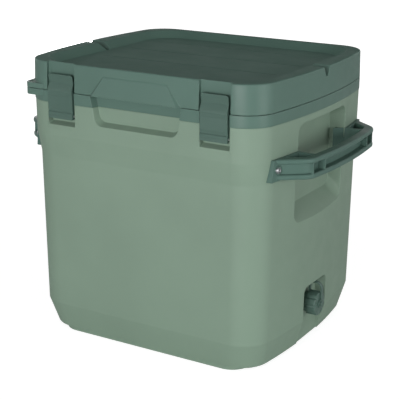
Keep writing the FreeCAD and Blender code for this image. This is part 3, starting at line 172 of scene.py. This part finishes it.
def moulded_plastic(name, base, roughness, grain, grain_size, drift=0.03, shine=0.35):
    """Moulded plastic: drifting pigment, uneven polish and the mould's fine grain."""
    finish = bpy.data.materials.new(name)
    finish.use_nodes = True
    tree = finish.node_tree
    shader = tree.nodes["Principled BSDF"]
    shader.inputs["Specular IOR Level"].default_value = shine
    pigment = tree.nodes.new("ShaderNodeMix")
    pigment.data_type = "RGBA"
    pigment.inputs["A"].default_value = shaded(base, 1 - drift)
    pigment.inputs["B"].default_value = shaded(base, 1 + drift)
    tree.links.new(spread(tree, noise_of(tree, PIGMENT_SCALE), 0.0, 1.0), pigment.inputs["Factor"])
    tree.links.new(pigment.outputs["Result"], shader.inputs["Base Color"])
    wear = noise_of(tree, POLISH_SCALE, FINE_DETAIL)
    uneven = spread(tree, wear, roughness - ROUGHNESS_CHANGE, roughness + ROUGHNESS_CHANGE)
    tree.links.new(uneven, shader.inputs["Roughness"])
    bump = node_of(tree, "ShaderNodeBump", Strength=grain, Distance=GRAIN_DEPTH)
    tree.links.new(noise_of(tree, 1 / grain_size, FINE_DETAIL), bump.inputs["Height"])
    tree.links.new(bump.outputs["Normal"], shader.inputs["Normal"])
    return finish


shell_plastic = moulded_plastic("sage_shell_plastic", SAGE, roughness=0.55, grain=0.25, grain_size=0.0009)
print("made", shell_plastic.name)

# %% [markdown]
# ## The other plastics
#
# The lid, the collar round the body's top and the latches are a deeper green, more polished than the body and
# with a finer grain. The lid's top is matt and textured, so that things set down on it don't slide, and its
# colour is painted lighter, to make up for the little light that the sky sends onto it from overhead.
# The handles are from a tougher, darker plastic, and the drain's cap and strap are from that of the latches.
# The tub inside is smooth and off white, so that spills show and wipe away. All of them come from the one
# function, because they differ only in colour, roughness, grain and shine. Grain sizes are in metres.

# %% Deep green, dark green and off white
# The tray's share is painted light: it makes the lid's top lighter than the deep green, to stand in for light
# that the top does not get from overhead.
TRAY_PAINTED_LIGHT_SHARE, LATCH_SHARE = 1.2, 0.78
trim_plastic = moulded_plastic("deep_green_trim_plastic", DEEP_GREEN, roughness=0.42, grain=0.1,
                               grain_size=0.0007, shine=0.3)
painted_light_tray_plastic = moulded_plastic("deep_green_tray_painted_light_plastic", shaded(DEEP_GREEN, TRAY_PAINTED_LIGHT_SHARE),
                               roughness=0.68, grain=0.3, grain_size=0.0009, shine=0.06)
collar_plastic = moulded_plastic("deep_green_collar_plastic", DEEP_GREEN, roughness=0.35, grain=0.05,
                                 grain_size=0.0007, shine=0.3)
latch_plastic = moulded_plastic("deep_green_latch_plastic", shaded(DEEP_GREEN, LATCH_SHARE),
                                roughness=0.38, grain=0.1, grain_size=0.0006, shine=0.32)
handle_plastic = moulded_plastic("dark_green_handle_plastic", DARK_GREEN, roughness=0.46, grain=0.22,
                                 grain_size=0.0008, shine=0.2)
liner_plastic = moulded_plastic("off_white_liner_plastic", OFF_WHITE, roughness=0.38, grain=0.05,
                                grain_size=0.002, drift=0.015)
print("plastics:", [m.name for m in bpy.data.materials if m.name.endswith("plastic")])

# %% [markdown]
# ## Rubber and foam
#
# The seals are soft black rubber with a dusty bloom, which a rough surface and a fine grain give. The foam
# between the skins is cream and full of closed cells. A cell pattern in place of the fine grain pushes small
# bowls into its surface. Both start from the plastic, because they are pigmented materials like it.

# %% Rubber and foam
FOAM_CELL = 0.0015
CELL_DEPTH = 0.0008


def foam_cells(finish):
    """Swaps the finish's fine grain for round closed cells."""
    tree = finish.node_tree
    bump = next(n for n in tree.nodes if n.type == "BUMP")
    place = tree.nodes.new("ShaderNodeTexCoord")
    cells = node_of(tree, "ShaderNodeTexVoronoi", Scale=1 / FOAM_CELL)
    tree.links.new(place.outputs["Object"], cells.inputs["Vector"])
    tree.links.new(cells.outputs["Distance"], bump.inputs["Height"])
    bump.inputs["Distance"].default_value = CELL_DEPTH


seal_rubber = moulded_plastic("black_seal_rubber", RUBBER_BLACK, roughness=0.72, grain=0.3,
                              grain_size=0.0005, drift=0.08)
insulation_foam = moulded_plastic("cream_insulation_foam", FOAM_CREAM, roughness=0.85, grain=0.4,
                                  grain_size=0.0012, drift=0.05, shine=0.2)
foam_cells(insulation_foam)
print("foam cells of", 1000 * FOAM_CELL, "mm")

# %% [markdown]
# ## Steel
#
# The screws, pins and inserts are stainless steel with a brushed look. One even polish would make them look
# like chrome. A noise that is stretched from left to right, the way that most of them lie, gives fine bands,
# and it drives both the polish and a very shallow bump.

# %% Brushed steel
BAND_SCALE = 900.0
BAND_STRETCH = (0.15, 1.0, 1.0)
BAND_STRENGTH, BAND_DEPTH = 0.1, 0.0001
LEAST_ROUGH, MOST_ROUGH = 0.2, 0.38


def brushed_steel(name):
    """Stainless steel whose roughness runs in fine bands."""
    finish = bpy.data.materials.new(name)
    finish.use_nodes = True
    tree = finish.node_tree
    shader = tree.nodes["Principled BSDF"]
    shader.inputs["Metallic"].default_value = 1.0
    shader.inputs["Base Color"].default_value = STEEL_GREY
    place = tree.nodes.new("ShaderNodeTexCoord")
    long_way = tree.nodes.new("ShaderNodeMapping")
    long_way.inputs["Scale"].default_value = BAND_STRETCH
    bands = node_of(tree, "ShaderNodeTexNoise", Scale=BAND_SCALE, Detail=PLAIN_DETAIL)
    tree.links.new(place.outputs["Object"], long_way.inputs["Vector"])
    tree.links.new(long_way.outputs["Vector"], bands.inputs["Vector"])
    tree.links.new(spread(tree, bands.outputs["Fac"], LEAST_ROUGH, MOST_ROUGH), shader.inputs["Roughness"])
    bump = node_of(tree, "ShaderNodeBump", Strength=BAND_STRENGTH, Distance=BAND_DEPTH)
    tree.links.new(bands.outputs["Fac"], bump.inputs["Height"])
    tree.links.new(bump.outputs["Normal"], shader.inputs["Normal"])
    return finish


steel = brushed_steel("stainless_steel")
print("finishes so far:", len(bpy.data.materials))

# %% [markdown]
# ## A welded copy of each solid
#
# Nothing that comes out of a mould has a knife edge: every corner has a small radius, and that radius is what
# catches the light. The frame's solids are exact but sharp, and may not be edited, so each visible piece is
# copied into a mesh of its own. Points that share a place are welded. Triangles that lie flat together are
# joined in pairs, which keeps stray diagonals out of the bevels. Joining more than pairs would look tidier
# still, but a face with many notches can come back torn.

# %% Weld and pair
WELD_REACH = 2e-6
FLAT_ANGLE = math.radians(0.6)


def welded_copy(node):
    """The frame node's mesh with its shared points joined, and its flat pairs of triangles too."""
    mesh = bmesh.new()
    mesh.from_mesh(NODES[node].data)
    bmesh.ops.remove_doubles(mesh, verts=mesh.verts, dist=WELD_REACH)
    bmesh.ops.join_triangles(mesh, faces=mesh.faces[:], angle_face_threshold=FLAT_ANGLE,
                             angle_shape_threshold=math.pi)
    return mesh


print("points are welded within", WELD_REACH, "metres")

# %% [markdown]
# ## Rounded edges
#
# Each edge that turns more than a limit is bevelled by the radius that the real piece has. Blender can hold a
# bevel back where edges crowd, but then one tiny edge thins the rounding of the whole piece. Here nothing is
# held back. Instead, places where the bevel folded over itself are found, the short edges near them are left
# sharp, and the copy is made again, a few times at most.

# %% Bevel, and try again where it folds
SHARP_ANGLE = math.radians(30)
FOLD_ANGLE = math.radians(150)
CROWD_REACH = 3.0
BEVEL_STEPS = 2
TRIES = 4


def folded_places(mesh):
    """Middles of the edges where a bevel folded back on itself."""
    return [(e.verts[0].co + e.verts[1].co) / 2 for e in mesh.edges
            if e.is_manifold and e.calc_face_angle(0) > FOLD_ANGLE]


def near_any(edge, places, reach):
    """Whether a short edge lies close to one of some places."""
    middle = (edge.verts[0].co + edge.verts[1].co) / 2
    return edge.calc_length() < reach and any((middle - place).length < reach for place in places)


def rounded_mesh(node, radius):
    """A copy of a frame node's mesh with its sharp edges rounded."""
    crowded = []
    for attempt in range(TRIES):
        mesh = welded_copy(node)
        sharp = [e for e in mesh.edges if e.is_manifold and e.calc_face_angle(0) > SHARP_ANGLE]
        chosen = [e for e in sharp if not near_any(e, crowded, CROWD_REACH * radius)]
        bmesh.ops.bevel(mesh, geom=chosen, offset=radius, offset_type="OFFSET", segments=BEVEL_STEPS,
                        profile=0.5, affect="EDGES", clamp_overlap=False)
        folds = folded_places(mesh)
        if not folds or attempt == TRIES - 1:
            break
        crowded += folds
        mesh.free()
    print(node, "tries:", attempt + 1, "folds left:", len(folds))
    return mesh


print("edges over", round(math.degrees(SHARP_ANGLE)), "degrees are rounded")

# %% [markdown]
# ## A piece in its place
#
# A finished mesh stands in for the frame's own piece: it takes its place and its body, so that it moves with
# the right joint, and gets a finish of its own. Smooth shading alone would make wide flat faces look swollen
# near their rounded edges. A weighted normal keeps the wide faces flat and lets only the narrow strips turn.

# %% Place and skin
PIECES = {}
CREASE_ANGLE = math.radians(40)


def place_piece(mesh, finish, node):
    """Puts a mesh into the scene in the stead of a frame node, with smooth faces and a finish."""
    data = bpy.data.meshes.new(node + "_skin")
    mesh.to_mesh(data)
    mesh.free()
    data.shade_smooth()
    data.set_sharp_from_angle(angle=CREASE_ANGLE)
    data.materials.clear()
    data.materials.append(finish)
    piece = bpy.data.objects.new(node + "_skin", data)
    bpy.context.scene.collection.objects.link(piece)
    normals = piece.modifiers.new("even_normals", "WEIGHTED_NORMAL")
    normals.keep_sharp = True
    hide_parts(node)
    # The strap is left without a body; the drain's own step bakes its placement into its mesh.
    if node != "drain_tether":
        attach(piece, BODY_OF[node])
    PIECES[node] = piece


def skin(*nodes, finish, radius, after=None):
    """Rounds several nodes the same way and says how many faces they came to."""
    for node in nodes:
        mesh = rounded_mesh(node, radius)
        if after:
            after(mesh)
        place_piece(mesh, finish, node)
    print(", ".join(nodes), "faces:", [len(PIECES[node].data.polygons) for node in nodes])


print("creases over", round(math.degrees(CREASE_ANGLE)), "degrees stay sharp")

# %% [markdown]
# ## Level cuts
#
# Two pieces need lines that the solids don't have: the shell, for the shading of its creases, and the
# latches, for grooves. A level plane cuts a mesh at one height and leaves new points there without changing
# its shape. Moving nearby points onto the line instead would bend the faces round it.

# %% Cut at a height
ON_PLANE = 1e-6


def level_cut(mesh, height):
    """Cuts every face of a mesh that crosses a height."""
    bmesh.ops.bisect_plane(mesh, geom=mesh.verts[:] + mesh.edges[:] + mesh.faces[:], dist=ON_PLANE,
                           plane_co=(0, 0, height), plane_no=(0, 0, 1))


print("points within", ON_PLANE, "metres count as on the plane")

# %% [markdown]
# ## The body
#
# The shell is one moulding: bowed sides, a shoulder under the collar, two deep pockets behind the
# handles and a slot for the drain. The collar caps the walls, and the tub sits inside. Each gets the radius
# of its own mould. The shoulder and the chamfer near the foot meet the walls in soft creases, too shallow for
# the bevel to find. Two level cuts close to each crease make its shading turn within a narrow band.

# %% Shell, collar and tub
SHOULDER_TOP, SHOULDER_FOOT, CHAMFER_TOP = 0.318, 0.285, 0.047
CREASE_REACH = 0.0022


def soft_creases(mesh):
    """Level cuts just above and below each crease of the shell."""
    for height in (SHOULDER_TOP, SHOULDER_FOOT, CHAMFER_TOP):
        for side in (-1, 1):
            level_cut(mesh, height + side * CREASE_REACH)


skin("outer_shell", finish=shell_plastic, radius=0.0009, after=soft_creases)
skin("rim_collar", finish=collar_plastic, radius=0.0005)
skin("inner_liner", finish=liner_plastic, radius=0.0008)

# %% [markdown]
# ## The lid
#
# The lid is a shallow box with a dished tray on top, three drain grooves, notches for a strap on both sides
# and a lip for the fingers. Below it are a white panel, the plug that drops into the tub, and a rubber seal.
# Its sides are polished and its top is textured. Two meshes could show that, but one moulding stays one mesh
# here: the faces that look up near the top get a second material, matt and textured, whose colour is painted
# lighter to stand in for light on the top.

# %% Lid, its panel and its seal
UP_FACING = 0.6
TRAY_BAND = 0.016


def texture_and_paint_light_on_top(lid):
    """Gives the faces of the lid that look up near its top the tray's matt texture and its painted light, a
    lighter colour.
    """
    band_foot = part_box("lid_shell")[1].z - TRAY_BAND
    lid.data.materials.append(painted_light_tray_plastic)
    # Up-facing faces near the top get the tray's texture and its painted light.
    for face in lid.data.polygons:
        if face.normal.z > UP_FACING and face.center.z > band_foot:
            face.material_index = 1
    print("textured faces:", sum(face.material_index for face in lid.data.polygons))


skin("lid_shell", finish=trim_plastic, radius=0.0008)
texture_and_paint_light_on_top(PIECES["lid_shell"])
skin("lid_liner", finish=liner_plastic, radius=0.0008)
skin("lid_gasket", finish=seal_rubber, radius=0.0006)

# %% [markdown]
# ## Latches
#
# Each latch is a folded sheet of plastic that turns on a pin. Three fine lines run across its front, two near
# its foot and one at half its height. A bump in the finish could fake them, but a real groove holds from
# every side. Three level cuts mark each line, and the front points of the middle cut are pushed in.

# %% Latches with their pressed lines
LATCH_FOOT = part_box("latch_right")[0].z
PRESSED_LINES = [LATCH_FOOT + rise for rise in (0.0046, 0.0105, 0.0335)]
LINE_HALF_WIDTH, LINE_DEPTH = 0.0007, 0.001
SAME_LEVEL, SAME_FACE = 1e-5, 0.0002


def pressed_lines(mesh):
    """Presses fine level lines into a latch's front."""
    for height in PRESSED_LINES:
        for step in (-LINE_HALF_WIDTH, 0, LINE_HALF_WIDTH):
            level_cut(mesh, height + step)
        middle = [v for v in mesh.verts if abs(v.co.z - height) < SAME_LEVEL]
        front = min(v.co.y for v in middle)
        for vert in middle:
            if vert.co.y < front + SAME_FACE:
                vert.co.y += LINE_DEPTH


skin("latch_right", "latch_left", finish=latch_plastic, radius=0.0004, after=pressed_lines)

# %% [markdown]
# ## Hinges and handles
#
# The hinges hide at the back: two leaves each, thin, so their edges are barely broken. The handles are two
# flanges and a web, like a small girder, with ribs across. Their flanges are already round in the solid,
# because a hand holds them, so only the edges of the webs and ribs are left to soften.

# %% Hinge leaves, handles and their screws
skin("hinge_leaf_body_right", "hinge_leaf_body_left", "hinge_leaf_lid_right", "hinge_leaf_lid_left",
     finish=trim_plastic, radius=0.00015)
skin("side_handle_right", "side_handle_left", finish=handle_plastic, radius=0.0005)
skin("handle_screws", finish=steel, radius=0.00035)

# %% [markdown]
# ## The drain
#
# Low on the right side a spout ends in a slot. A nut clamps it, a fluted cap closes it, and a moulded strap
# keeps the cap from getting lost. The strap is held at both ends, so a rigid piece would have to let go of
# one of them. Here it is rounded like the other pieces and its placement is baked into its mesh, but it is
# attached to neither body.

# %% Spout, nut, cap and strap
skin("drain_spout", "drain_nut", finish=handle_plastic, radius=0.0003)
skin("drain_cap", finish=latch_plastic, radius=0.0006)
skin("drain_tether", finish=latch_plastic, radius=0.0003)
strap = PIECES["drain_tether"]
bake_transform(strap)

# %% [markdown]
# ## Pieces that keep their own mesh
#
# Foam, pins, inserts and small seals are deep inside or mostly covered. Their exact solids are good enough,
# so only their finish changes.

# %% Finish for the covered pieces
COVERED = {
    "insulation_foam": insulation_foam, "lid_foam": insulation_foam, "drain_seal": seal_rubber,
    "drain_cap_seal": seal_rubber, "latch_pins": steel, "hinge_pins": steel, "hinge_screws_body": steel,
    "hinge_screws_lid": steel, "handle_inserts": steel,
}
for covered, finish in COVERED.items():
    data = NODES[covered].data
    data.materials.clear()
    data.materials.append(finish)
print("covered pieces:", len(COVERED))

# %% [markdown]
# ## Floor
#
# The cooler stands on a pale sheet that fades into white. A matt floor alone would look grey far away, where
# the lamps don't reach, and a plain white one would take no shadow. So to the camera it is partly a white
# glow and partly a matt surface with the shadow on it. The glow grows with the distance from the middle,
# where the lamps' own light dies away. Only the camera sees it, so it lights nothing.

# %% The floor's finish
FLOOR_ROUGHNESS = 0.9
FLOOR_GLOW_SHARE = 0.6
GLOW_NEAR, GLOW_FAR = 1.48, 1.75
NEAR_REACH, FAR_REACH = 0.5, 2.5


def glow_by_distance(tree):
    """The glow's strength, which grows with the distance from the middle of the floor."""
    place = tree.nodes.new("ShaderNodeNewGeometry")
    length = tree.nodes.new("ShaderNodeVectorMath")
    length.operation = "LENGTH"
    glow = tree.nodes.new("ShaderNodeMapRange")
    for socket, value in zip(("From Min", "From Max", "To Min", "To Max"),
                             (NEAR_REACH, FAR_REACH, GLOW_NEAR, GLOW_FAR)):
        glow.inputs[socket].default_value = value
    tree.links.new(place.outputs["Position"], length.inputs[0])
    tree.links.new(length.outputs["Value"], glow.inputs["Value"])
    return glow.outputs["Result"]


def floor_finish():
    """Matt, pale, and nearly white to the camera where no shadow falls."""
    finish = bpy.data.materials.new("pale_floor")
    finish.use_nodes = True
    tree = finish.node_tree
    shader = tree.nodes["Principled BSDF"]
    shader.inputs["Base Color"].default_value = FLOOR_WHITE
    shader.inputs["Roughness"].default_value = FLOOR_ROUGHNESS
    shader.inputs["Specular IOR Level"].default_value = 0.0
    white = tree.nodes.new("ShaderNodeEmission")
    tree.links.new(glow_by_distance(tree), white.inputs["Strength"])
    seen = tree.nodes.new("ShaderNodeLightPath")
    share = maths_of(tree, "MULTIPLY", seen.outputs["Is Camera Ray"], FLOOR_GLOW_SHARE)
    blend = tree.nodes.new("ShaderNodeMixShader")
    tree.links.new(share, blend.inputs["Fac"])
    tree.links.new(shader.outputs[0], blend.inputs[1])
    tree.links.new(white.outputs[0], blend.inputs[2])
    tree.links.new(blend.outputs[0], tree.nodes["Material Output"].inputs["Surface"])
    return finish


pale_floor = floor_finish()
print("the glow's share of the floor is", FLOOR_GLOW_SHARE)

# %% [markdown]
# ## The floor's sheet
#
# A flat grid makes the floor. It reaches far enough that its edge stays out of the picture from every side.
# It belongs to the stage and not to the cooler.

# %% A wide flat sheet
FLOOR_REACH = 40.0
FLOOR_CELLS = 8
sheet = bmesh.new()
bmesh.ops.create_grid(sheet, x_segments=FLOOR_CELLS, y_segments=FLOOR_CELLS, size=FLOOR_REACH)
floor_mesh = bpy.data.meshes.new("floor")
sheet.to_mesh(floor_mesh)
sheet.free()
floor_mesh.materials.append(pale_floor)
floor = bpy.data.objects.new("floor", floor_mesh)
bpy.context.scene.collection.objects.link(floor)
print("floor reaches", FLOOR_REACH, "metres each way")

# %% [markdown]
# ## Sky
#
# The room round the cooler is a plain white sky. Evenly bright, it would light the lid's top more than the
# front. So its light fades from the horizon to straight overhead, which keeps the top a little darker than
# the front. A picture of a real room would light it too, but a plain fade shows nothing of its own in the
# shiny faces.

# %% A sky that fades overhead
HORIZON_LEVEL = 0.52
ZENITH_LEVEL = 0.1
world = bpy.data.worlds.new("studio")
bpy.context.scene.world = world
world.use_nodes = True
sky = world.node_tree
way = sky.nodes.new("ShaderNodeTexCoord")
parts = sky.nodes.new("ShaderNodeSeparateXYZ")
fade = sky.nodes.new("ShaderNodeMapRange")
fade.inputs["To Min"].default_value = HORIZON_LEVEL
fade.inputs["To Max"].default_value = ZENITH_LEVEL
sky.links.new(way.outputs["Generated"], parts.inputs["Vector"])
sky.links.new(parts.outputs["Z"], fade.inputs["Value"])
faded = fade.outputs["Result"]
print("sky from", HORIZON_LEVEL, "at the horizon to", ZENITH_LEVEL, "overhead")

# %% [markdown]
# ## Who sees which sky
#
# Reflections show a sky twice as bright, which brings out the rounded edges. The camera itself sees plain
# white paper behind it all, so that the background stays clean, and so would anything clear. One sky can't
# do both, so there are two, and the kind of ray chooses between them.

# %% Sky light and white paper
WHITE = (1, 1, 1, 1)
paper = node_of(sky, "ShaderNodeBackground", Color=WHITE, Strength=1.0)
level = sky.nodes["Background"]
level.inputs["Color"].default_value = WHITE
path = sky.nodes.new("ShaderNodeLightPath")
mirrored = maths_of(sky, "MULTIPLY_ADD", faded, path.outputs["Is Glossy Ray"], faded)
sky.links.new(mirrored, level.inputs["Strength"])
straight = maths_of(sky, "MAXIMUM", path.outputs["Is Camera Ray"], path.outputs["Is Transmission Ray"])
choose = sky.nodes.new("ShaderNodeMixShader")
sky.links.new(straight, choose.inputs["Fac"])
sky.links.new(level.outputs[0], choose.inputs[1])
sky.links.new(paper.outputs[0], choose.inputs[2])
sky.links.new(choose.outputs[0], sky.nodes["World Output"].inputs["Surface"])
print("nodes in the sky:", len(sky.nodes))

# %% [markdown]
# ## Lamps
#
# Three soft lamps stand low round the cooler, like window light from several sides. The one in front is the
# strongest and shapes the front, one to the right keeps the side readable, and a small one behind lights the
# hinges. Low lamps leave the lid's top to the sky. A single strong lamp would draw hard shadows on the floor.

# %% Three soft lamps
MIDDLE = (0, 0, 0.2)


def soft_lamp(name, place, size, power):
    """A wide square lamp that points at the cooler's middle."""
    data = bpy.data.lights.new(name, "AREA")
    data.shape = "SQUARE"
    data.size = size
    data.energy = power
    lamp = bpy.data.objects.new(name, data)
    bpy.context.scene.collection.objects.link(lamp)
    lamp.location = place
    lamp.rotation_euler = (Vector(MIDDLE) - Vector(place)).to_track_quat("-Z", "Y").to_euler()
    return lamp


lamps = [
    soft_lamp("front_lamp", (0.4, -2.6, 0.4), size=1.2, power=42.0),
    soft_lamp("side_lamp", (2.7, -0.4, 0.5), size=1.4, power=28.0),
    soft_lamp("back_lamp", (-1.8, 2.1, 0.26), size=0.5, power=28.0),
]
print("lamp powers:", [lamp.data.energy for lamp in lamps])

# %% [markdown]
# ## Camera
#
# The camera stands to the right of the front, above the height of the lid, with a long lens, so that upright
# edges stay nearly upright. It could be made to track a point, but then it couldn't roll. So its turn, tilt
# and slight roll are given as angles, which are easy to read.

# %% Camera
CAMERA_PLACE = Vector((0.86174, -1.45825, 0.72187))
CAMERA_TURN = 30.598
CAMERA_TILT = 17.326
CAMERA_ROLL = 0.3095
LENS = 101.42
SENSOR_WIDTH = 36.0

lens = bpy.data.cameras.new("camera")
lens.lens = LENS
lens.sensor_width = SENSOR_WIDTH
camera = bpy.data.objects.new("camera", lens)
bpy.context.scene.collection.objects.link(camera)
turn = Matrix.Rotation(math.radians(CAMERA_TURN), 4, "Z")
tilt = Matrix.Rotation(math.radians(90 - CAMERA_TILT), 4, "X")
roll = Matrix.Rotation(math.radians(CAMERA_ROLL), 4, "Z")
camera.matrix_world = Matrix.Translation(CAMERA_PLACE) @ turn @ tilt @ roll
bpy.context.scene.camera = camera
bpy.context.scene.view_settings.view_transform = "Standard"
print("camera", round((CAMERA_PLACE - Vector(MIDDLE)).length, 3), "metres from the middle")
